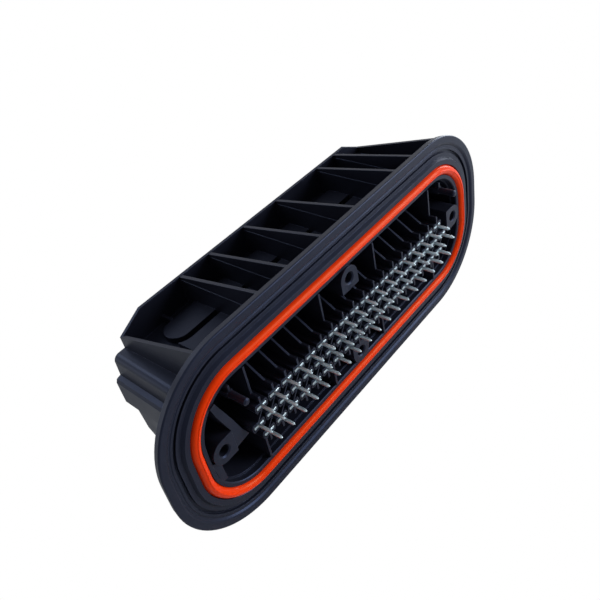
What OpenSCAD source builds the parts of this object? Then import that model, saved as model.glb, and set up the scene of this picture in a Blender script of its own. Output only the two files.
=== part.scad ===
// Sealed board-mount connector header: an oval sealed flange round three rows of flat
// contacts, with a ribbed mating shroud behind it.
// X is the long axis, Z the short axis and Y the contact axis. The board tails point to -Y,
// the mating socket opens to +Y, and the origin is at the middle of the screw boss faces.

/* [Contacts] */
// Distance between contacts in a row
pitch = 4; // [3.8:0.1:4.4]
// Distance between rows
row_gap = 3.86; // [3.6:0.02:4.4]
// Contacts in the upper and lower rows; the middle row has one more
outer_count = 18; // [6:2:18]
// Width of a contact blade
blade_w = 2.8; // [2:0.1:2.9]
// Thickness of the contact strip
blade_t = 0.6; // [0.4:0.05:0.8]
// Width of a board tail
tail_w = 0.64; // [0.4:0.02:1]
// Length of a board tail in front of its shoulder
tail_len = 3.48; // [2.5:0.1:6]
// Height of the contact shoulders in front of the boss faces
shoulder_h = 1.75; // [1:0.05:3]
// Length of blade that stands in the socket
blade_reach = 8.5; // [5:0.5:11]
// Gap all round a contact in its slot
contact_gap = 0.03; // [0.02:0.01:0.08]
// Gap all round a contact at the wider mouth of its slot
mouth_gap = 0.17; // [0.1:0.01:0.2]
// Depth of the wider mouth of a slot
mouth_depth = 1.2; // [0.5:0.1:3]

/* [Opening] */
// Room between the last contact of an outer row and the corner centres
end_room = 2.75; // [2:0.05:6]
// Height of the straight part of the ends, from the middle
corner_z = 2.9; // [1:0.1:6]
// Corner radius of the opening at the lip
opening_r = 10.85; // [10:0.05:13]
// Depth of the board side cavity behind the boss faces
cavity_depth = 9.5; // [7:0.5:11]
// Inward step behind the lip
cavity_step = 0.5; // [0.2:0.1:1]
// Thickness of the cavity wall
cavity_wall = 1; // [0.8:0.1:1.6]

/* [Flange] */
// Width of the lip inside the seal
lip_w = 1.05; // [0.6:0.05:1.6]
// Width of the seal groove
seal_w = 2.6; // [2.2:0.1:4]
// Width of the land outside the seal
land_w = 1.35; // [0.8:0.05:2.5]
// Width of the flat channel outside the land
channel_w = 1; // [0.8:0.1:2]
// Width of the narrow groove outside the channel
groove_w = 0.8; // [0.4:0.1:1.2]
// Width of the rim outside the narrow groove
rim_w = 3.45; // [3:0.05:5]
// Distance of the land behind the boss faces
land_y = 0.45; // [0.2:0.05:0.9]
// Drop from the land to the rim's front face
rim_drop = 0.4; // [0.2:0.05:0.8]
// Thickness of the flange at the rim
flange_t = 1.6; // [1.5:0.05:3]
// Height of the seal's round bead in front of the land
seal_proud = 0.85; // [0.3:0.05:1]
// Thickness of the seal's round bead
bead_d = 1.9; // [1.4:0.1:2.2]
// Gap between the seal and the sides of its groove
seal_gap = 0.03; // [0.02:0.01:0.1]

/* [Shroud] */
// Distance from the boss faces to the rear rim
body_depth = 26.75; // [25:0.25:32]
// Thickness of the wall between cavity and socket
partition_t = 2.5; // [2:0.1:3.5]
// Half the height of the mating socket
socket_z = 11.2; // [10:0.1:12]
// Thickness of the socket's long walls
socket_wall = 1.7; // [1.2:0.1:2.4]
// Half the length of the mating socket
socket_x = 43; // [40:0.5:43.5]
// Angle by which the ends lean outward towards the flange
draft = 2.6; // [1:0.1:3.5]
// Height of the rear rail above the middle
rail_top = 19.9; // [18:0.1:22]
// Depth of the lower rear rail below the middle
rail_bottom = 18.2; // [17:0.1:22]
// Half the length of the rail's straight part
rail_x = 35.8; // [33:0.1:38]
// Thickness of the rear rails
rail_t = 0.7; // [0.6:0.1:1.5]
// Thickness of the cross ribs
rib_t = 0.8; // [0.6:0.1:1.5]

/* [Fixings] */
// Radius of the screw holes in the bosses
screw_r = 1.3; // [1:0.05:1.5]
// Width of the lead-in chamfer of the screw holes
screw_lead = 0.3; // [0.1:0.05:0.5]
// Radius of the round end of a boss
boss_r = 3; // [2.6:0.1:3.2]
// Distance from the middle to an end boss hole
boss_x = 44.4; // [44:0.1:45]
// Distance from the middle to the upper and lower boss holes
boss_z = 11.1; // [10.6:0.1:11.4]
// Depth of the screw holes
screw_depth = 8; // [5:0.5:9]
// Radius of the locating pegs
peg_r = 0.8; // [0.6:0.05:1.2]
// Distance from the middle to a peg along the connector
peg_x = 38.8; // [38:0.1:40]
// Height of the pegs in front of the boss faces
peg_len = 4.45; // [2.5:0.05:5]

/* [Hidden] */
fine = 96;
eps = 0.01;
middle_count = outer_count + 1;
last_x = (outer_count - 1) / 2 * pitch;
corner_x = last_x + end_room;

// Radii of the flange rings, all round the same four corner centres.
seal_in_r = opening_r + lip_w;
seal_out_r = seal_in_r + seal_w;
land_out_r = seal_out_r + land_w;
land_slope = 0.5;
channel_out_r = land_out_r + land_slope + channel_w;
groove_out_r = channel_out_r + groove_w;
rim_out_r = groove_out_r + rim_w;
ridge_w = 0.5;
dip_w = 0.55;
dip_d = 0.15;
dip_in_r = groove_out_r + ridge_w;
dip_out_r = dip_in_r + dip_w;
rim_round = 0.35;
rim_taper = 0.3;
back_out_r = rim_out_r - rim_taper;

// Levels along Y, counted from the boss faces towards the mating side.
rim_y = land_y + rim_drop;
ridge_y = rim_y + 0.35;
channel_y = ridge_y + 0.1;
groove_y = ridge_y + 0.7;
flange_back = rim_y + flange_t;
seal_floor = flange_back - 0.65;
partition_back = cavity_depth + partition_t;
comb_front = -shoulder_h + 0.1;
blade_tip = partition_back + blade_reach;
tail_end = -shoulder_h - tail_len;

cavity_r = opening_r - cavity_step;
tub_r = cavity_r + cavity_wall;
tub_top = corner_z + tub_r;
roof_z = socket_z + socket_wall;
flange_top = corner_z + back_out_r;

// The comb: a sleeve round each contact, joined by slanting webs.
sleeve_w = blade_w + 0.9;
sleeve_h = blade_t + 1.5;
sleeve_waist = blade_t + 1.1;
web_t = 0.4;
gusset_t = 0.5;
gusset_top = row_gap + 2.6;
tall_gussets = [-34, -10, 10, 34];
gusset_slope = 0.676;

// The outer ribs between the flange and the rear rails.
rib_x = [-24, -15, -3.6, 8.3, 24.5, 31.7];
end_wall_x = 42.1;
rail_end_drop = 3.2;
rib_foot = 0.2;

// Pegs: a square post up to the boss faces, then the round peg with its chamfered tip.
peg_post = 1.8 * peg_r;
peg_tip = 0.3;

// Contacts: the length of the tail's point, and the length and side taper of the blade's tip.
tail_point = 0.7;
blade_point = 1.2;
blade_taper = 0.7;

// The lobed cheeks at both ends, as seen from the back of the right-hand one.
lobe_r = 1.5;
cheek_profile = [
    [40.5, -13.8], [43.2, -13.8], [44.3, -12.5], [45, -8.7], [45.35, -2.4], [47, 2],
    [47, 7.8], [46.6, 8.6], [45.5, 8.9], [45.35, 12.3], [43.85, 13.8], [40.5, 13.8]
];

function outer_x(i) = (i - (outer_count - 1) / 2) * pitch;
function middle_x(i) = (i - (middle_count - 1) / 2) * pitch;
function two_digits(n) = n < 10 ? str("0", n) : str(n);
function row_names(letter, count) = [for (i = [1:count]) str("contact_", letter, two_digits(i))];

// Extrudes a shape drawn in X and Z from one Y level to another.
module slab(y0, y1) {
    translate([0, y1, 0]) rotate([90, 0, 0]) linear_extrude(y1 - y0) children();
}

// Extrudes a shape drawn in Y and Z along X, centred on x.
module plate(x, t) {
    translate([x - t / 2, 0, 0]) rotate([90, 0, 90]) linear_extrude(t) children();
}

// Rounded oblong round the four corner centres.
module oblong(r) {
    square([2 * (corner_x + r), 2 * corner_z], center = true);
    square([2 * corner_x, 2 * (corner_z + r)], center = true);
    for (x = [-corner_x, corner_x], z = [-corner_z, corner_z])
        translate([x, z]) circle(r, $fn = fine);
}

// Sweeps a profile of radius and height towards the board round the four corner centres.
module round_the_oblong() {
    rotate([90, 0, 0]) for (turn = [0, 180]) rotate([0, 0, turn]) {
        translate([corner_x, corner_z, 0]) rotate_extrude(angle = 90, $fn = fine) children();
        translate([-corner_x, corner_z, 0]) rotate([0, 0, 90])
            rotate_extrude(angle = 90, $fn = fine) children();
        translate([-corner_x, corner_z, 0]) rotate([90, 0, 90])
            linear_extrude(2 * corner_x) children();
        translate([corner_x, corner_z, 0]) rotate([90, 0, 0])
            linear_extrude(2 * corner_z) children();
    }
}

// Section of the flange: lip, seal groove, land, channel, narrow groove and rim.
module flange_section() {
    polygon([
        [opening_r, -flange_back], [opening_r, -land_y - 0.3], [opening_r + 0.2, -land_y - 0.1],
        [seal_in_r, -land_y - 0.1], [seal_in_r, -seal_floor], [seal_out_r, -seal_floor],
        [seal_out_r, -land_y - 0.15], [seal_out_r + 0.15, -land_y],
        [land_out_r, -land_y], [land_out_r + land_slope, -channel_y],
        [channel_out_r, -channel_y], [channel_out_r, -groove_y],
        [groove_out_r, -groove_y], [groove_out_r, -ridge_y],
        [dip_in_r, -ridge_y], [dip_in_r + dip_d, -ridge_y - dip_d],
        [dip_out_r, -ridge_y - dip_d], [dip_out_r + rim_round, -rim_y - dip_d],
        [dip_out_r + 2 * rim_round, -rim_y],
        for (a = [0:22.5:90])
            [rim_out_r - rim_round * (1 - sin(a)), -rim_y - rim_round * (1 - cos(a))],
        [back_out_r, -flange_back]
    ]);
}

// One sleeve of the comb, pinched at its waist.
module sleeve() {
    w = sleeve_w / 2;
    h = sleeve_h / 2;
    k = sleeve_waist / 2;
    polygon([
        [-w, -k / 2], [-w + 0.25, -h], [0, -k], [w - 0.25, -h], [w, -k / 2],
        [w, k / 2], [w - 0.25, h], [0, k], [-w + 0.25, h], [-w, k / 2]
    ]);
}

// Slanting web from a contact down to the one in the next row, half a pitch to the left.
module web(x, z) {
    polygon([
        [x - web_t / 2, z - sleeve_waist / 2 + 0.1],
        [x + web_t / 2, z - sleeve_waist / 2 + 0.1],
        [x - pitch / 2 + web_t / 2, z - row_gap + sleeve_waist / 2 - 0.1],
        [x - pitch / 2 - web_t / 2, z - row_gap + sleeve_waist / 2 - 0.1]
    ]);
}

module comb() {
    slab(comb_front, cavity_depth + eps) {
        for (i = [0:outer_count - 1], z = [-row_gap, row_gap])
            translate([outer_x(i), z]) sleeve();
        for (i = [0:middle_count - 1]) translate([middle_x(i), 0]) sleeve();
        for (i = [0:outer_count - 1]) {
            web(outer_x(i), row_gap);
            web(middle_x(i + 1), 0);
        }
    }
}

// Gusset that stiffens the comb, above and below; a tall one reaches the cavity wall.
module gusset(x) {
    tall = len([for (g = tall_gussets) if (abs(g - x) < pitch / 2) g]) > 0;
    foot = row_gap + sleeve_waist / 2 - 0.1;
    bend = 0.35;  // level at which the slope starts
    far = tall ? tub_top - cavity_wall / 2 : gusset_top + (cavity_depth - bend) * gusset_slope;
    for (side = [0, 1]) mirror([0, 0, side]) plate(x, gusset_t) polygon([
        [comb_front, foot], [comb_front, gusset_top], [bend, gusset_top],
        [tall ? bend : cavity_depth + eps, far], [cavity_depth + eps, far],
        [cavity_depth + eps, foot]
    ]);
}

// Screw boss with one round end and one square end, standing on the cavity floor.
module boss(x, z, turn) {
    slab(0, cavity_depth + eps) translate([x, z]) rotate(turn) {
        circle(boss_r, $fn = fine);
        translate([-boss_r, -boss_r]) square([boss_r, 2 * boss_r]);
    }
}

// Bent web between the left end boss and the cavity wall, drawn for the other end.
module boss_web() {
    slab(0.2, cavity_depth + eps) polygon([
        [boss_x - boss_r, -2.3], [boss_x - boss_r, boss_r - 0.1], [boss_x - 0.9, 9],
        [boss_x - 0.3, 11.6], [boss_x - 1.6, 12], [boss_x - 4.2, 5], [boss_x - 5.6, 0.7],
        [boss_x - 6.8, -1.8]
    ]);
    slab(0.6, cavity_depth + eps) polygon([
        [boss_x + 1.5, -2], [boss_x + 3.6, -1], [boss_x + 2.6, -7.5], [boss_x + 1.2, -7.5]
    ]);
}

module peg(x) {
    slab(0, cavity_depth + eps) translate([x - gusset_t / 2, boss_z])
        square([gusset_t, cavity_r + corner_z - boss_z]);
    slab(0, cavity_depth + eps) translate([x, boss_z]) square(peg_post, center = true);
    slab(-peg_len + peg_tip, eps) translate([x, boss_z]) circle(peg_r, $fn = fine);
    translate([x, -peg_len, boss_z]) rotate([-90, 0, 0])
        cylinder(h = peg_tip, r1 = peg_r - peg_tip, r2 = peg_r, $fn = fine);
}

// Open tub behind the flange with its floor, and the thick ledge over the socket's inner end.
module tub() {
    slab(flange_back - 0.3, cavity_depth) difference() {
        oblong(tub_r);
        oblong(cavity_r);
    }
    slab(cavity_depth, partition_back) oblong(tub_r);
}

// Socket walls, ledge, raised pad and the small locating rib behind it.
module shroud() {
    pad_front = partition_back + 4.9;
    pad_w = 6.3;
    pad_x = rail_x;
    pad_top = roof_z + 1.5;
    pad_slot = 1.4;
    key_x = -31.9;
    key_h = 1.7;
    slab(partition_back - eps, body_depth) difference() {
        square([2 * (socket_x + 0.5), 2 * roof_z], center = true);
        square([2 * socket_x, 2 * socket_z], center = true);
    }
    for (side = [0, 1]) mirror([0, 0, side]) {
        translate([0, 0, roof_z - 1]) linear_extrude(tub_top - roof_z + 1) difference() {
            translate([-rail_x, flange_back])
                square([2 * rail_x, pad_front + pad_w / 2 - flange_back]);
            translate([-pad_x + pad_w / 2, pad_front - pad_slot])
                square([2 * pad_x - pad_w, pad_w]);
            for (x = [-1, 1]) translate([x * (pad_x - pad_w / 2), pad_front + pad_w / 2])
                circle(pad_w / 2 + pad_slot, $fn = fine);
        }
        translate([0, 0, roof_z - 0.5]) linear_extrude(pad_top - roof_z + 0.5) {
            translate([-pad_x + pad_w / 2, pad_front]) square([2 * pad_x - pad_w, pad_w]);
            for (x = [-1, 1]) translate([x * (pad_x - pad_w / 2), pad_front + pad_w / 2])
                circle(pad_w / 2, $fn = fine);
        }
        translate([key_x, pad_front + pad_w - eps, roof_z - 0.5])
            cube([rib_t, body_depth - pad_front - pad_w, key_h + 0.5]);
    }
}

// Rear rail on one long side, with its cross ribs up to the flange.
module ribbed_side(top) {
    slab(body_depth - rail_t, body_depth) polygon([
        [-end_wall_x, roof_z - 1], [-end_wall_x, top - rail_end_drop], [-rail_x, top],
        [rail_x, top], [end_wall_x, top - rail_end_drop], [end_wall_x, roof_z - 1]
    ]);
    for (x = rib_x) {
        plate(x, rib_t) polygon([
            [flange_back - eps, roof_z - 0.5], [flange_back - eps, flange_top - 0.2],
            [body_depth - rail_t / 2, top - 0.1], [body_depth - rail_t / 2, roof_z - 0.5]
        ]);
        plate(x, rib_t + rib_foot) polygon([
            [flange_back - eps, roof_z - 0.5], [flange_back - eps, top - 0.7],
            [body_depth - rail_t / 2, top - 0.7], [body_depth - rail_t / 2, roof_z - 0.5]
        ]);
    }
}

// Leaning end of the shroud, with its lobes.
module cheek() {
    reach = body_depth + 1;
    intersection() {
        translate([end_wall_x, body_depth, 0]) rotate([0, 0, draft])
            translate([-end_wall_x, -body_depth, 0]) {
                slab(flange_back - 3, reach) {
                    polygon(cheek_profile);
                    translate([cheek_profile[10][0], cheek_profile[9][1]])
                        circle(lobe_r, $fn = fine);
                }
            }
        translate([0, flange_back - 0.3, -flange_top])
            cube([corner_x + back_out_r, body_depth - flange_back + 0.3, 2 * flange_top]);
    }
}

// Wall that closes the outer pockets at an end, with a slope at its foot.
module end_wall(rear_z) {
    inner_x = end_wall_x - rib_t;
    front_z = corner_z + sqrt(pow(back_out_r, 2) - pow(end_wall_x - corner_x, 2)) - 0.1;
    plate(end_wall_x - rib_t / 2, rib_t) polygon([
        [flange_back - 0.3, roof_z - 1], [flange_back - 0.3, front_z], [flange_back, front_z],
        [body_depth, rear_z], [body_depth, roof_z - 1]
    ]);
    slab(flange_back - 0.3, body_depth) polygon([
        [rail_x, roof_z - 1], [inner_x + eps, roof_z + 2.6], [inner_x + eps, roof_z - 1]
    ]);
}

// Flat stamped contact: pointed tail, shoulders and a blade with a tapered tip.
module contact_shape(gap) {
    w = blade_w / 2 + gap;
    polygon([
        [-tail_w / 2, -shoulder_h], [-tail_w / 2, tail_end + tail_point],
        [-tail_w / 5, tail_end], [tail_w / 5, tail_end],
        [tail_w / 2, tail_end + tail_point], [tail_w / 2, -shoulder_h],
        [w, -shoulder_h], [w, blade_tip - blade_point], [w - blade_taper, blade_tip],
        [-w + blade_taper, blade_tip], [-w, blade_tip - blade_point], [-w, -shoulder_h]
    ]);
}

module contact(x, z) {
    color("gainsboro") translate([x, 0, z - blade_t / 2]) linear_extrude(blade_t)
        contact_shape(0);
}

// Slots for all the contacts, with a gap round each, between two levels.
module slots(gap, y0, y1) {
    w = blade_w + 2 * gap;
    t = blade_t + 2 * gap;
    slab(y0, y1) {
        for (i = [0:outer_count - 1], z = [-row_gap, row_gap])
            translate([outer_x(i), z]) square([w, t], center = true);
        for (i = [0:middle_count - 1]) translate([middle_x(i), 0]) square([w, t], center = true);
    }
}

module screw_holes() {
    for (p = [[-boss_x, 0], [boss_x, 0], [0, -boss_z], [0, boss_z]])
        translate([p[0], 0, p[1]]) rotate([90, 0, 0]) {
            translate([0, 0, -screw_depth]) cylinder(h = screw_depth + 1, r = screw_r, $fn = fine);
            translate([0, 0, -screw_lead])
                cylinder(h = 2 * screw_lead, r1 = screw_r, r2 = screw_r + 2 * screw_lead, $fn = fine);
        }
}

module housing() {
    color("#23262f") difference() {
        union() {
            round_the_oblong() flange_section();
            tub();
            difference() {
                union() {
                    shroud();
                    ribbed_side(rail_top);
                    mirror([0, 0, 1]) ribbed_side(rail_bottom);
                    for (side = [0, 1]) mirror([side, 0, 0]) {
                        cheek();
                        end_wall(rail_top - rail_end_drop);
                        mirror([0, 0, 1]) end_wall(rail_bottom - rail_end_drop);
                    }
                }
                slab(flange_back - 1, partition_back - 1) oblong(cavity_r);
                slab(partition_back - 1 + eps, body_depth + 1)
                    square([2 * socket_x, 2 * socket_z], center = true);
            }
            comb();
            for (i = [0:outer_count - 1]) gusset(outer_x(i));
            boss(-boss_x, 0, 180);
            boss(boss_x, 0, 0);
            boss(0, boss_z, 90);
            boss(0, -boss_z, -90);
            mirror([1, 0, 0]) boss_web();
            peg(-peg_x);
            peg(peg_x);
        }
        slots(contact_gap, comb_front - 1, partition_back + 1);
        slots(mouth_gap, comb_front - 1, comb_front + mouth_depth);
        screw_holes();
    }
}

// Silicone seal: a broad foot in the groove under a round bead.
module seal() {
    inner = seal_in_r + seal_gap;
    outer = seal_out_r - seal_gap;
    front = seal_proud - land_y;
    foot = 0.9;
    color("orangered") round_the_oblong() {
        translate([(inner + outer) / 2, front - bead_d / 2]) circle(bead_d / 2, $fn = fine);
        translate([inner, -seal_floor]) square([outer - inner, foot]);
        translate([(inner + outer - bead_d) / 2, -seal_floor])
            square([bead_d, seal_floor + front - bead_d / 2]);
    }
}

housing();
seal();
for (i = [0:outer_count - 1]) {
    contact(outer_x(i), row_gap);
    contact(outer_x(i), -row_gap);
}
for (i = [0:middle_count - 1])
    contact(middle_x(i), 0);
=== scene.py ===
import math

import bmesh
import bpy
from mathutils import Matrix, Vector


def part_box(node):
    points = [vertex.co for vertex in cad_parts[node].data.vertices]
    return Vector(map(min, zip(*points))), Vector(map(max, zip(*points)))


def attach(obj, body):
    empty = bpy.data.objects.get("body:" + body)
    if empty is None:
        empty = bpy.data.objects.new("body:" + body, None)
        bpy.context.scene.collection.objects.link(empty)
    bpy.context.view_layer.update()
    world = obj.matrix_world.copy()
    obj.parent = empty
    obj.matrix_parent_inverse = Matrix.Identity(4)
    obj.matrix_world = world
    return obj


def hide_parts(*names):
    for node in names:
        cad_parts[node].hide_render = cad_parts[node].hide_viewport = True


bl_info = {
    "name": "Sealed Connector Header",
    "version": (1, 0, 0),
    "blender": (4, 5, 0),
    "location": "View3D > Sidebar > Connector",
    "description": "Finishes, contacts, seal and studio for a sealed board-mount connector header",
    "category": "Add Mesh",
}

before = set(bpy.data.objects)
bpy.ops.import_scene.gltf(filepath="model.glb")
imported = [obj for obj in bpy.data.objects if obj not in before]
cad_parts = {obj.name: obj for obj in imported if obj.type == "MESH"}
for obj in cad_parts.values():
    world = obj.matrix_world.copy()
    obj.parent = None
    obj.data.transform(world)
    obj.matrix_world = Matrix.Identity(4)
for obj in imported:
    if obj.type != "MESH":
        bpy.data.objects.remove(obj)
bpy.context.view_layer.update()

# Lengths are in metres.
WHITE = (1, 1, 1, 1)
FLOOR_WHITE = (0.9, 0.9, 0.9, 1)
FLOOR_ROUGHNESS = 0.9
DUST_COLOR = (0.12, 0.12, 0.13, 1)

GRAIN_DEPTH = 0.00003           # height of the grain at full strength
GRAIN_DETAIL = 3.0              # layers of the grain's noise
FLOW_DETAIL = 4.0               # layers of the noise behind the slow changes
PATCH_DETAIL = 5.0              # layers of the noise that breaks up the painted edge highlights
FLOW_SPAN = (0.3, 0.7)          # noise values from full change one way to the other
PATCH_SPAN = (0.35, 0.6)        # noise values from no painted edge highlight to full highlight
EDGE_SPAN = (0.995, 0.9)        # cosine of the turn at an edge, from no painted highlight to full highlight
EDGE_SAMPLES = 6
BARE_CELLS = 0.8                # share of the cells that hold no speck

# Faces are picked by the share of their normal that points along Y.
FACING = 0.9                    # past this a face looks along Y
SQUARE = 0.99                   # past this it stands square to Y
BACKWARD = 0.1                  # past this it belongs to the back half of the bead
EDGE_ON = 0.3                   # under this it runs along Y
MERGE_GAP = 0.000001            # points nearer than this become one
SHARP_ANGLE = math.radians(30)  # an edge past this is rounded
SMOOTH_ANGLE = math.radians(40)
EDGE_STEPS = 2                  # faces across a rounded edge

CONTACT_PREFIX = "contact_"
TAIL_TIP = (0.4, 1, 0.4)        # size of the tail's end, as a share of the tail
BLADE_TIP = (0.55, 1, 0.45)     # size of the blade's end, as a share of the blade

RING_STEPS = 144                # faces round the seal, a multiple of four
BEAD_STEPS = 16                 # faces across its bead
FRONT_LINE = 0.99               # share of the bead's radius past which its front line lies
RIDGE_ROUNDING = 1 / 3          # rounding of the ridge, as a share of its height

CAMERA_SENSOR = 36.0            # width in millimetres
CAMERA_NEAR = 0.005             # the nearest that the camera sees
FLOOR_SIZE = 3.0
LAMP_SIZE = 0.45
LAMP_AIM = Vector((0, 0.01, 0))
LAMPS = (                       # name, place, power in watts
    ("key", (0.45, -0.50, 0.20), 4.3),
    ("side", (0.68, 0.10, 0.12), 4.0),
    ("rear", (-0.45, 0.50, 0.15), 0.50),
    ("overhead", (-0.05, 0.50, 0.50), 1.35))


# ---------------------------------------------------------------------------
# Settings
# ---------------------------------------------------------------------------

class ConnectorFinish(bpy.types.PropertyGroup):
    """Sizes and colours of the moulding, the seal and the contacts"""

    housing_color: bpy.props.FloatVectorProperty(
        name="Housing", description="Colour of the moulded plastic", subtype="COLOR",
        size=3, min=0.0, max=1.0, default=(0.0108, 0.0115, 0.0190))
    housing_roughness: bpy.props.FloatProperty(
        name="Housing roughness", description="How dull the moulded plastic is",
        min=0.0, max=1.0, default=0.40)
    grain_size: bpy.props.FloatProperty(
        name="Moulding grain", description="Size of the spark-eroded grain on the plastic",
        subtype="DISTANCE", unit="LENGTH", min=0.00005, max=0.002, default=0.00035)
    edge_radius: bpy.props.FloatProperty(
        name="Moulded edge", description="Radius to which the mould rounds the edges",
        subtype="DISTANCE", unit="LENGTH", min=0.0, max=0.0005, default=0.00012)
    seal_color: bpy.props.FloatVectorProperty(
        name="Seal", description="Colour of the silicone seal", subtype="COLOR",
        size=3, min=0.0, max=1.0, default=(0.88, 0.041, 0.002))
    seal_bead: bpy.props.FloatProperty(
        name="Seal bead", description="Thickness of the seal's round bead",
        subtype="DISTANCE", unit="LENGTH", min=0.0012, max=0.0024, default=0.0023)
    seal_ridge: bpy.props.FloatProperty(
        name="Seal ridge", description="Height of the fine ridge along the bead",
        subtype="DISTANCE", unit="LENGTH", min=0.00005, max=0.0003, default=0.00012)
    ridge_width: bpy.props.FloatProperty(
        name="Ridge width", description="Width of the fine ridge along the bead",
        subtype="DISTANCE", unit="LENGTH", min=0.0001, max=0.0005, default=0.0003)
    seal_radius: bpy.props.FloatProperty(
        name="Seal corner", description="Radius of the bead's middle round the seal's ends",
        subtype="DISTANCE", unit="LENGTH", min=0.012, max=0.015, default=0.0132)
    seal_width: bpy.props.FloatProperty(
        name="Seal width", description="Width of the seal's foot",
        subtype="DISTANCE", unit="LENGTH", min=0.002, max=0.004, default=0.00254)
    seal_foot: bpy.props.FloatProperty(
        name="Seal foot", description="Thickness of the foot in the groove",
        subtype="DISTANCE", unit="LENGTH", min=0.0003, max=0.0012, default=0.0009)
    contact_color: bpy.props.FloatVectorProperty(
        name="Contacts", description="Colour of the tin plating", subtype="COLOR",
        size=3, min=0.0, max=1.0, default=(0.47, 0.57, 0.62))
    shoulder_level: bpy.props.FloatProperty(
        name="Contact shoulder", description="Height of the contact's shoulders above the bosses",
        subtype="DISTANCE", unit="LENGTH", min=0.001, max=0.003, default=0.00175)
    tail_width: bpy.props.FloatProperty(
        name="Tail width", description="Width of the tail that goes into the circuit board",
        subtype="DISTANCE", unit="LENGTH", min=0.0004, max=0.001, default=0.00064)
    tail_point: bpy.props.FloatProperty(
        name="Tail point", description="Length of the coined point of the tail",
        subtype="DISTANCE", unit="LENGTH", min=0.0002, max=0.001, default=0.0006)
    blade_point: bpy.props.FloatProperty(
        name="Blade point", description="Length of the lead-in at the end of the blade",
        subtype="DISTANCE", unit="LENGTH", min=0.0004, max=0.002, default=0.0012)
    contact_edge: bpy.props.FloatProperty(
        name="Contact edge", description="Rounding of the stamped edges",
        subtype="DISTANCE", unit="LENGTH", min=0.00001, max=0.00015, default=0.00011)


class StudioSettings(bpy.types.PropertyGroup):
    """Camera, lamps and floor"""

    camera_at: bpy.props.FloatVectorProperty(
        name="Camera at", description="Place of the camera", subtype="TRANSLATION",
        size=3, default=(-0.08925, -0.07896, 0.10293))
    camera_turn: bpy.props.FloatVectorProperty(
        name="Camera turn", description="Turn of the camera", subtype="EULER",
        size=3, default=(math.radians(50.652), math.radians(10.244), math.radians(-51.197)))
    lens: bpy.props.FloatProperty(
        name="Lens", description="Focal length in millimetres on a 36 mm sensor",
        min=20.0, max=200.0, default=41.1)
    tent_glow: bpy.props.FloatProperty(
        name="Tent glow", description="How white the surroundings look in reflections",
        min=0.0, max=1.0, default=0.52)
    fill_glow: bpy.props.FloatProperty(
        name="Fill glow", description="Light that the surroundings give from all sides",
        min=0.0, max=1.0, default=0.17)
    lamp_color: bpy.props.FloatVectorProperty(
        name="Lamps", description="Colour of the lamps, a cool daylight", subtype="COLOR",
        size=3, min=0.0, max=1.0, default=(0.88, 0.94, 1.0))
    floor_drop: bpy.props.FloatProperty(
        name="Floor drop", description="Gap between the lowest point and the floor",
        subtype="DISTANCE", unit="LENGTH", min=0.0, max=0.05, default=0.002)


# ---------------------------------------------------------------------------
# Shader groups
# ---------------------------------------------------------------------------

def new_group(name, inputs, outputs):
    """An empty shader group with named sockets, its nodes, links and end nodes"""
    group = bpy.data.node_groups.new(name, "ShaderNodeTree")
    for label, kind, default in inputs:
        made = group.interface.new_socket(
            name=label, in_out="INPUT", socket_type="NodeSocket" + kind)
        if default is not None:
            made.default_value = default
    for label, kind in outputs:
        group.interface.new_socket(
            name=label, in_out="OUTPUT", socket_type="NodeSocket" + kind)
    nodes = group.nodes
    return group, nodes, group.links, nodes.new("NodeGroupInput"), nodes.new("NodeGroupOutput")


def set_values(node, values):
    """Sets the node's own sockets, by name"""
    for label, value in values.items():
        node.inputs[label].default_value = value


def remap(nodes, links, source, span, new_span):
    """Stretches a value's span to a new one"""
    made = nodes.new("ShaderNodeMapRange")
    set_values(made, {"From Min": span[0], "From Max": span[1],
                      "To Min": new_span[0], "To Max": new_span[1]})
    links.new(source, made.inputs["Value"])
    return made.outputs["Result"]


def noise(nodes, links, place, scale, detail):
    """A soft noise whose scale comes from another socket"""
    made = nodes.new("ShaderNodeTexNoise")
    made.inputs["Detail"].default_value = detail
    links.new(place, made.inputs["Vector"])
    links.new(scale, made.inputs["Scale"])
    return made.outputs["Fac"]


def arithmetic(nodes, links, operation, first, second):
    """One sum on two values, each a number or a socket"""
    made = nodes.new("ShaderNodeMath")
    made.operation = operation
    for slot, value in enumerate((first, second)):
        if isinstance(value, (int, float)):
            made.inputs[slot].default_value = value
        else:
            links.new(value, made.inputs[slot])
    return made.outputs["Value"]


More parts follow.
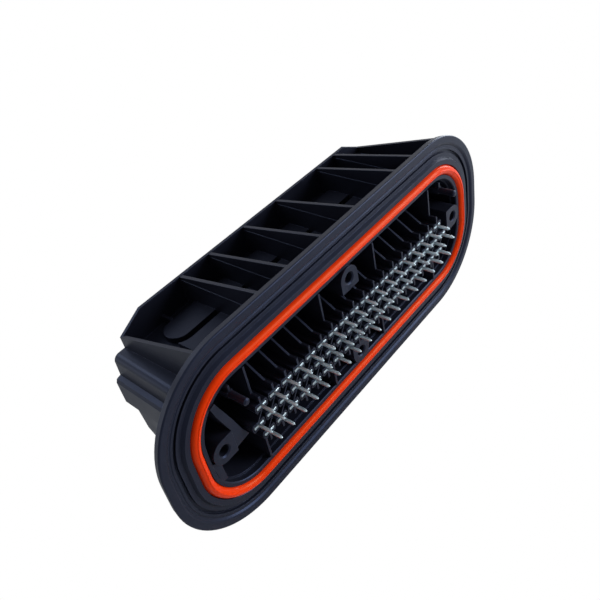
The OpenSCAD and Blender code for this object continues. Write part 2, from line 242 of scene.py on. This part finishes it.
def surface_flow_group():
    """Slow change of shade and sheen over a surface, and its fine grain"""
    group, nodes, links, into, out = new_group(
        "Surface Flow",
        (("Color", "Color", (0.03, 0.03, 0.04, 1)), ("Roughness", "Float", 0.4),
         ("Flow Scale", "Float", 90.0), ("Shade Change", "Float", 0.1),
         ("Sheen Change", "Float", 0.06), ("Grain Scale", "Float", 3000.0),
         ("Grain Strength", "Float", 0.2), ("Normal", "Vector", None)),
        (("Color", "Color"), ("Roughness", "Float"), ("Normal", "Vector")))
    place = nodes.new("ShaderNodeTexCoord").outputs["Object"]
    flow = noise(nodes, links, place, into.outputs["Flow Scale"], FLOW_DETAIL)
    around = remap(nodes, links, flow, FLOW_SPAN, (-1.0, 1.0))

    shade = arithmetic(nodes, links, "MULTIPLY", around, into.outputs["Shade Change"])
    level = arithmetic(nodes, links, "ADD", shade, 1.0)
    tinted = nodes.new("ShaderNodeVectorMath")
    tinted.operation = "SCALE"
    links.new(into.outputs["Color"], tinted.inputs[0])
    links.new(level, tinted.inputs["Scale"])
    links.new(tinted.outputs["Vector"], out.inputs["Color"])

    sheen = arithmetic(nodes, links, "MULTIPLY", around, into.outputs["Sheen Change"])
    rough = arithmetic(nodes, links, "ADD", into.outputs["Roughness"], sheen)
    links.new(rough, out.inputs["Roughness"])

    grain = noise(nodes, links, place, into.outputs["Grain Scale"], GRAIN_DETAIL)
    bump = nodes.new("ShaderNodeBump")
    bump.inputs["Distance"].default_value = GRAIN_DEPTH
    links.new(grain, bump.inputs["Height"])
    links.new(into.outputs["Grain Strength"], bump.inputs["Strength"])
    links.new(into.outputs["Normal"], bump.inputs["Normal"])
    links.new(bump.outputs["Normal"], out.inputs["Normal"])
    return group


def edge_highlight_group():
    """Rounds the normals at the edges, and gives a mask of the edges with a broken outline, where
    a highlight is painted
    """
    group, nodes, links, into, out = new_group(
        "Edge Highlight",
        (("Radius", "Float", 0.0001), ("Patch Scale", "Float", 400.0)),
        (("Mask", "Float"), ("Normal", "Vector")))
    rounded = nodes.new("ShaderNodeBevel")
    rounded.samples = EDGE_SAMPLES
    links.new(into.outputs["Radius"], rounded.inputs["Radius"])
    flat = nodes.new("ShaderNodeNewGeometry")
    turn = nodes.new("ShaderNodeVectorMath")
    turn.operation = "DOT_PRODUCT"
    links.new(rounded.outputs["Normal"], turn.inputs[0])
    links.new(flat.outputs["Normal"], turn.inputs[1])
    edge = remap(nodes, links, turn.outputs["Value"], EDGE_SPAN, (0.0, 1.0))
    place = nodes.new("ShaderNodeTexCoord").outputs["Object"]
    patches = noise(nodes, links, place, into.outputs["Patch Scale"], PATCH_DETAIL)
    broken = remap(nodes, links, patches, PATCH_SPAN, (0.0, 1.0))
    links.new(arithmetic(nodes, links, "MULTIPLY", edge, broken), out.inputs["Mask"])
    links.new(rounded.outputs["Normal"], out.inputs["Normal"])
    return group


def dust_group():
    """A mask of sparse specks of dust, each of its own size"""
    group, nodes, links, into, out = new_group(
        "Dust",
        (("Speck Scale", "Float", 500.0), ("Amount", "Float", 0.1)),
        (("Mask", "Float"),))
    cells = nodes.new("ShaderNodeTexVoronoi")
    links.new(nodes.new("ShaderNodeTexCoord").outputs["Object"], cells.inputs["Vector"])
    links.new(into.outputs["Speck Scale"], cells.inputs["Scale"])
    chance = nodes.new("ShaderNodeSeparateColor")
    links.new(cells.outputs["Color"], chance.inputs["Color"])
    radius = arithmetic(nodes, links, "MULTIPLY", chance.outputs["Red"], into.outputs["Amount"])
    near = arithmetic(nodes, links, "LESS_THAN", cells.outputs["Distance"], radius)
    kept = arithmetic(nodes, links, "GREATER_THAN", chance.outputs["Green"], BARE_CELLS)
    links.new(arithmetic(nodes, links, "MULTIPLY", near, kept), out.inputs["Mask"])
    return group


def add_groups():
    """Makes the shader groups that the materials share"""
    surface_flow_group()
    edge_highlight_group()
    dust_group()


# ---------------------------------------------------------------------------
# Materials
# ---------------------------------------------------------------------------

def place_group(nodes, name, values):
    """Places a shader group, with its own values"""
    placed = nodes.new("ShaderNodeGroup")
    placed.node_tree = bpy.data.node_groups[name]
    set_values(placed, values)
    return placed


def blend_to(nodes, links, mask, first, second):
    """A colour that goes from the first to the second with the mask"""
    made = nodes.new("ShaderNodeMix")
    made.data_type = "RGBA"
    # Sockets 6, 7 and 2 are those for colours. Other kinds have sockets of the same names.
    links.new(mask, made.inputs[0])
    links.new(first, made.inputs[6])
    made.inputs[7].default_value = second
    return made.outputs[2]


def highlighted_edge_material(name, color, edge_highlight_color, rough, edge_rough, edge, flow, own, dust=None):
    """A material with grain, slow changes of shade and sheen, painted highlights on the edges and
    dust specks

    edge, flow and dust are the values of the three groups, own those of the shader itself.
    Without values for dust, the surface is clean.
    """
    made = bpy.data.materials.new(name)
    made.use_nodes = True
    nodes, links = made.node_tree.nodes, made.node_tree.links
    shader = nodes["Principled BSDF"]
    edge_light = place_group(nodes, "Edge Highlight", edge)
    skin = place_group(nodes, "Surface Flow", {"Color": (*color, 1), "Roughness": rough, **flow})
    links.new(edge_light.outputs["Normal"], skin.inputs["Normal"])
    links.new(skin.outputs["Normal"], shader.inputs["Normal"])
    # The edges are mixed to a lighter colour: a painted highlight along them.
    mixed = blend_to(nodes, links, edge_light.outputs["Mask"], skin.outputs["Color"], (*edge_highlight_color, 1))
    if dust:
        specks = place_group(nodes, "Dust", dust)
        mixed = blend_to(nodes, links, specks.outputs["Mask"], mixed, DUST_COLOR)
    links.new(mixed, shader.inputs["Base Color"])
    drop = arithmetic(nodes, links, "MULTIPLY", edge_light.outputs["Mask"], edge_rough - rough)
    links.new(arithmetic(nodes, links, "ADD", skin.outputs["Roughness"], drop),
              shader.inputs["Roughness"])
    set_values(shader, own)
    return made


def dress(piece, material):
    """Gives the whole piece one material"""
    piece.data.materials.clear()
    piece.data.materials.append(material)


# ---------------------------------------------------------------------------
# Modelling helpers
# ---------------------------------------------------------------------------

def start_piece(name):
    """Names the new primitive and opens it for editing with nothing selected"""
    piece = bpy.context.object
    piece.name = name
    piece.data.name = name
    bpy.ops.object.transform_apply(location=True, rotation=True, scale=True)
    bpy.ops.object.mode_set(mode="EDIT")
    bpy.ops.mesh.select_all(action="DESELECT")
    return piece


def pick_faces(piece, test):
    """Selects the faces whose middle and normal pass the test"""
    bpy.ops.mesh.select_mode(type="FACE")
    bpy.ops.mesh.select_all(action="DESELECT")
    work = bmesh.from_edit_mesh(piece.data)
    for face in work.faces:
        face.select_set(test(face.calc_center_median(), face.normal))
    bmesh.update_edit_mesh(piece.data)


def pick_points(piece, test):
    """Selects the points whose place passes the test"""
    bpy.ops.mesh.select_mode(type="VERT")
    bpy.ops.mesh.select_all(action="DESELECT")
    work = bmesh.from_edit_mesh(piece.data)
    for point in work.verts:
        point.select_set(test(point.co))
    work.select_flush(True)
    bmesh.update_edit_mesh(piece.data)


def cut(at, along):
    """Cuts all the faces with a plane"""
    bpy.ops.mesh.select_all(action="SELECT")
    bpy.ops.mesh.bisect(plane_co=at, plane_no=along)


def push(move, scale=None, about=None):
    """Extrudes the selected faces, and scales the new end about a point"""
    bpy.ops.mesh.extrude_region_move(TRANSFORM_OT_translate={"value": move})
    if scale:
        bpy.ops.transform.resize(value=scale, center_override=about)


def finish_piece(piece, width):
    """Rounds the edges, smooths the faces and returns to object mode"""
    bpy.ops.object.mode_set(mode="OBJECT")
    rounding = piece.modifiers.new("edges", "BEVEL")
    rounding.limit_method = "ANGLE"
    rounding.angle_limit = SHARP_ANGLE
    rounding.width = width
    rounding.segments = EDGE_STEPS
    bpy.ops.object.modifier_apply(modifier=rounding.name)
    bpy.ops.object.shade_smooth_by_angle(angle=SMOOTH_ANGLE)


# ---------------------------------------------------------------------------
# Pieces
# ---------------------------------------------------------------------------

class CONNECTOR_OT_housing(bpy.types.Operator):
    """Gives the moulding its dark satin plastic"""

    bl_idname = "connector.housing"
    bl_label = "Housing"

    def execute(self, context):
        finish = context.scene.connector_finish
        plastic = highlighted_edge_material(
            "Dark moulded plastic",
            # The edges are painted a lighter blue-grey, a painted highlight.
            color=finish.housing_color, edge_highlight_color=(0.030, 0.034, 0.050),
            rough=finish.housing_roughness, edge_rough=0.30,
            edge={"Radius": finish.edge_radius, "Patch Scale": 500.0},
            flow={"Grain Scale": 1.0 / finish.grain_size, "Grain Strength": 0.25,
                  "Flow Scale": 90.0, "Shade Change": 0.12, "Sheen Change": 0.06},
            dust={"Speck Scale": 350.0, "Amount": 0.07},
            own={"Specular IOR Level": 0.30, "Specular Tint": (0.40, 0.53, 1.0, 1)})
        dress(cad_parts["housing"], plastic)
        return {"FINISHED"}


def draw_contact(finish, low, high):
    """Models one stamped contact, middle of its blade at the origin of X and Z"""
    half_w = (high[0] - low[0]) / 2
    half_t = (high[2] - low[2]) / 2
    shoulder = -finish.shoulder_level
    back = high[1] - finish.blade_point
    bpy.ops.object.select_all(action="DESELECT")
    bpy.ops.mesh.primitive_cube_add(
        size=1, location=(0, (shoulder + back) / 2, 0),
        scale=(2 * half_w, back - shoulder, 2 * half_t))
    piece = start_piece("contact")
    half_tail = finish.tail_width / 2
    for side in (-half_tail, half_tail):
        cut((side, 0, 0), (1, 0, 0))
    pick_faces(piece, lambda middle, normal: normal.y < -FACING and abs(middle.x) < half_tail)
    length = shoulder - low[1] - finish.tail_point
    push((0, -length, 0))
    push((0, -finish.tail_point, 0), TAIL_TIP, (0, low[1], 0))
    pick_faces(piece, lambda middle, normal: normal.y > FACING)
    push((0, finish.blade_point, 0), BLADE_TIP, (0, high[1], 0))
    finish_piece(piece, finish.contact_edge)
    return piece


class CONNECTOR_OT_contacts(bpy.types.Operator):
    """Models one tin-plated contact and copies it to every place"""

    bl_idname = "connector.contacts"
    bl_label = "Contacts"

    def execute(self, context):
        finish = context.scene.connector_finish
        tin = highlighted_edge_material(
            "Tin plating",
            # The edges are painted near white, a painted glint along them.
            color=finish.contact_color, edge_highlight_color=(0.96, 0.98, 1.0),
            rough=0.40, edge_rough=0.32,
            edge={"Radius": 0.00012, "Patch Scale": 900.0},
            flow={"Grain Scale": 5000.0, "Grain Strength": 0.15,
                  "Flow Scale": 700.0, "Shade Change": 0.06, "Sheen Change": 0.07},
            own={"Metallic": 1.0})
        places = [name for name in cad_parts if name.startswith(CONTACT_PREFIX)]
        low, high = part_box(places[0])
        master = draw_contact(finish, low, high)
        dress(master, tin)
        for name in places:
            low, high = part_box(name)
            piece = master.copy()
            piece.data = master.data.copy()
            piece.name = "pin_" + name[len(CONTACT_PREFIX):]
            piece.data.name = piece.name
            piece.data.transform(Matrix.Translation((
                (low[0] + high[0]) / 2, 0, (low[2] + high[2]) / 2)))
            context.collection.objects.link(piece)
            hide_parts(name)
            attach(piece, "root")
        bpy.data.objects.remove(master)
        return {"FINISHED"}


def draw_seal(finish, low, high):
    """Models the seal: a round bead with a fine ridge, standing on a wider foot in the groove"""
    corner_x = high[0] - finish.seal_radius - finish.seal_width / 2
    corner_z = high[2] - finish.seal_radius - finish.seal_width / 2
    bead_r = finish.seal_bead / 2
    bead_y = low[1] + finish.seal_ridge + bead_r
    bpy.ops.object.select_all(action="DESELECT")
    bpy.ops.mesh.primitive_torus_add(
        location=(0, bead_y, 0), rotation=(math.radians(90), math.pi / RING_STEPS, 0),
        major_segments=RING_STEPS, minor_segments=BEAD_STEPS,
        major_radius=finish.seal_radius, minor_radius=bead_r)
    piece = start_piece("seal_ring")

    # The ring, turned by half a step so that no point lies on an axis, is drawn out to the
    # corner centres, along X and then along Z.
    for side in (-1, 1):
        pick_points(piece, lambda at: at.x * side > 0)
        bpy.ops.transform.translate(value=(side * corner_x, 0, 0))
        pick_points(piece, lambda at: at.z * side > 0)
        bpy.ops.transform.translate(value=(0, 0, side * corner_z))

    # The front line of the bead becomes a narrow strip, which is raised to the ridge.
    pick_points(piece, lambda at: at.y < bead_y - FRONT_LINE * bead_r)
    bpy.ops.mesh.select_mode(type="EDGE")
    bpy.ops.mesh.bevel(offset=finish.ridge_width / 2, segments=1, affect="EDGES")
    pick_faces(piece, lambda middle, normal: normal.y < -SQUARE)
    push((0, -finish.seal_ridge, 0))

    # The back half goes down to the foot, and the foot to the floor of the groove.
    floor_y = high[1]
    foot_y = floor_y - finish.seal_foot
    pick_faces(piece, lambda middle, normal: normal.y > BACKWARD)
    push((0, 0, 0), (1, 0, 1), (0, foot_y, 0))
    push((0, 0, 0))
    bpy.ops.transform.translate(value=(0, floor_y - foot_y, 0))
    pick_faces(piece, lambda middle, normal: (
        foot_y < middle.y < floor_y and abs(normal.y) < EDGE_ON))
    bpy.ops.transform.shrink_fatten(value=(finish.seal_width - finish.seal_bead) / 2)
    bpy.ops.mesh.select_all(action="SELECT")
    bpy.ops.mesh.remove_doubles(threshold=MERGE_GAP)
    bpy.ops.mesh.normals_make_consistent(inside=False)
    finish_piece(piece, finish.seal_ridge * RIDGE_ROUNDING)
    return piece


class CONNECTOR_OT_seal(bpy.types.Operator):
    """Models the seal and gives it its orange silicone"""

    bl_idname = "connector.seal"
    bl_label = "Seal"

    def execute(self, context):
        finish = context.scene.connector_finish
        silicone = highlighted_edge_material(
            "Orange silicone",
            # The edges are painted a lighter orange, a painted highlight.
            color=finish.seal_color, edge_highlight_color=(0.90, 0.08, 0.01),
            rough=0.27, edge_rough=0.25,
            edge={"Radius": 0.00005, "Patch Scale": 300.0},
            flow={"Grain Scale": 1800.0, "Grain Strength": 0.1,
                  "Flow Scale": 60.0, "Shade Change": 0.05, "Sheen Change": 0.05},
            dust={"Speck Scale": 300.0, "Amount": 0.05},
            own={"Specular IOR Level": 0.14, "Specular Tint": (1.0, 0.80, 0.35, 1)})
        piece = draw_seal(finish, *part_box("seal"))
        dress(piece, silicone)
        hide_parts("seal")
        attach(piece, "root")
        return {"FINISHED"}


# ---------------------------------------------------------------------------
# Stage
# ---------------------------------------------------------------------------

def add_camera(scene, settings):
    """The camera, which the scene then looks through"""
    bpy.ops.object.camera_add(location=settings.camera_at, rotation=settings.camera_turn)
    camera = bpy.context.object
    camera.name = "camera"
    camera.data.lens = settings.lens
    camera.data.sensor_width = CAMERA_SENSOR
    camera.data.clip_start = CAMERA_NEAR
    scene.camera = camera


def pale_floor_material():
    """A matt pale surface that the camera itself sees as plain white"""
    made = bpy.data.materials.new("Pale floor")
    made.use_nodes = True
    nodes, links = made.node_tree.nodes, made.node_tree.links
    shader = nodes["Principled BSDF"]
    set_values(shader, {"Base Color": FLOOR_WHITE, "Roughness": FLOOR_ROUGHNESS})
    bright = nodes.new("ShaderNodeEmission")
    bright.inputs["Color"].default_value = WHITE
    paths = nodes.new("ShaderNodeLightPath")
    mix = nodes.new("ShaderNodeMixShader")
    links.new(paths.outputs["Is Camera Ray"], mix.inputs["Fac"])
    links.new(shader.outputs["BSDF"], mix.inputs[1])
    links.new(bright.outputs["Emission"], mix.inputs[2])
    links.new(mix.outputs["Shader"], nodes["Material Output"].inputs["Surface"])
    return made


def add_floor(settings):
    """A wide floor just under the lowest point of the part"""
    low = min(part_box(name)[0][2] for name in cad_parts) - settings.floor_drop
    bpy.ops.mesh.primitive_plane_add(size=FLOOR_SIZE, location=(0, 0, low))
    floor = bpy.context.object
    floor.name = "floor"
    dress(floor, pale_floor_material())


def add_surroundings(scene, settings):
    """White all round: full for the camera, dimmer in reflections, and a soft fill elsewhere"""
    world = scene.world or bpy.data.worlds.new("Studio")
    scene.world = world
    world.use_nodes = True
    nodes, links = world.node_tree.nodes, world.node_tree.links
    nodes.clear()
    out = nodes.new("ShaderNodeOutputWorld")
    soft = nodes.new("ShaderNodeBackground")
    set_values(soft, {"Color": WHITE, "Strength": settings.fill_glow})
    seen = nodes.new("ShaderNodeBackground")
    set_values(seen, {"Color": WHITE, "Strength": 1.0})
    paths = nodes.new("ShaderNodeLightPath").outputs
    mirrored = arithmetic(nodes, links, "MULTIPLY", paths["Is Glossy Ray"], settings.tent_glow)
    either = arithmetic(nodes, links, "MAXIMUM", paths["Is Camera Ray"], mirrored)
    mix = nodes.new("ShaderNodeMixShader")
    links.new(either, mix.inputs["Fac"])
    links.new(soft.outputs["Background"], mix.inputs[1])
    links.new(seen.outputs["Background"], mix.inputs[2])
    links.new(mix.outputs["Shader"], out.inputs["Surface"])


def add_lamps(settings):
    """Round soft lamps, all turned to the middle of the part"""
    for name, at, power in LAMPS:
        bpy.ops.object.light_add(type="AREA", location=at)
        lamp = bpy.context.object
        lamp.name = name
        lamp.data.shape = "DISK"
        lamp.data.size = LAMP_SIZE
        lamp.data.energy = power
        lamp.data.color = settings.lamp_color
        toward = LAMP_AIM - Vector(at)
        lamp.rotation_euler = toward.to_track_quat("-Z", "Y").to_euler()


class CONNECTOR_OT_studio(bpy.types.Operator):
    """Adds the camera, the soft lamps, the floor and the white surroundings"""

    bl_idname = "connector.studio"
    bl_label = "Studio"

    def execute(self, context):
        settings = context.scene.studio_settings
        add_camera(context.scene, settings)
        add_floor(settings)
        add_surroundings(context.scene, settings)
        add_lamps(settings)
        context.scene.view_settings.view_transform = "Standard"
        return {"FINISHED"}


# ---------------------------------------------------------------------------
# Panel and registration
# ---------------------------------------------------------------------------

class CONNECTOR_PT_panel(bpy.types.Panel):
    """Lists the pieces and their settings"""

    bl_idname = "CONNECTOR_PT_panel"
    bl_label = "Sealed Connector Header"
    bl_space_type = "VIEW_3D"
    bl_region_type = "UI"
    bl_category = "Connector"

    def draw(self, context):
        layout = self.layout
        for group in (context.scene.connector_finish, context.scene.studio_settings):
            for name in group.__annotations__:
                layout.prop(group, name)
        for tool in PIECES:
            layout.operator(tool.bl_idname)


PIECES = (CONNECTOR_OT_housing, CONNECTOR_OT_seal, CONNECTOR_OT_contacts, CONNECTOR_OT_studio)
CLASSES = (ConnectorFinish, StudioSettings, *PIECES, CONNECTOR_PT_panel)


def register():
    for kind in CLASSES:
        bpy.utils.register_class(kind)
    bpy.types.Scene.connector_finish = bpy.props.PointerProperty(type=ConnectorFinish)
    bpy.types.Scene.studio_settings = bpy.props.PointerProperty(type=StudioSettings)


def unregister():
    del bpy.types.Scene.studio_settings
    del bpy.types.Scene.connector_finish
    for kind in reversed(CLASSES):
        bpy.utils.unregister_class(kind)


def main():
    register()
    add_groups()
    bpy.ops.connector.housing()
    bpy.ops.connector.seal()
    bpy.ops.connector.contacts()
    bpy.ops.connector.studio()


if __name__ == "__main__":
    main()
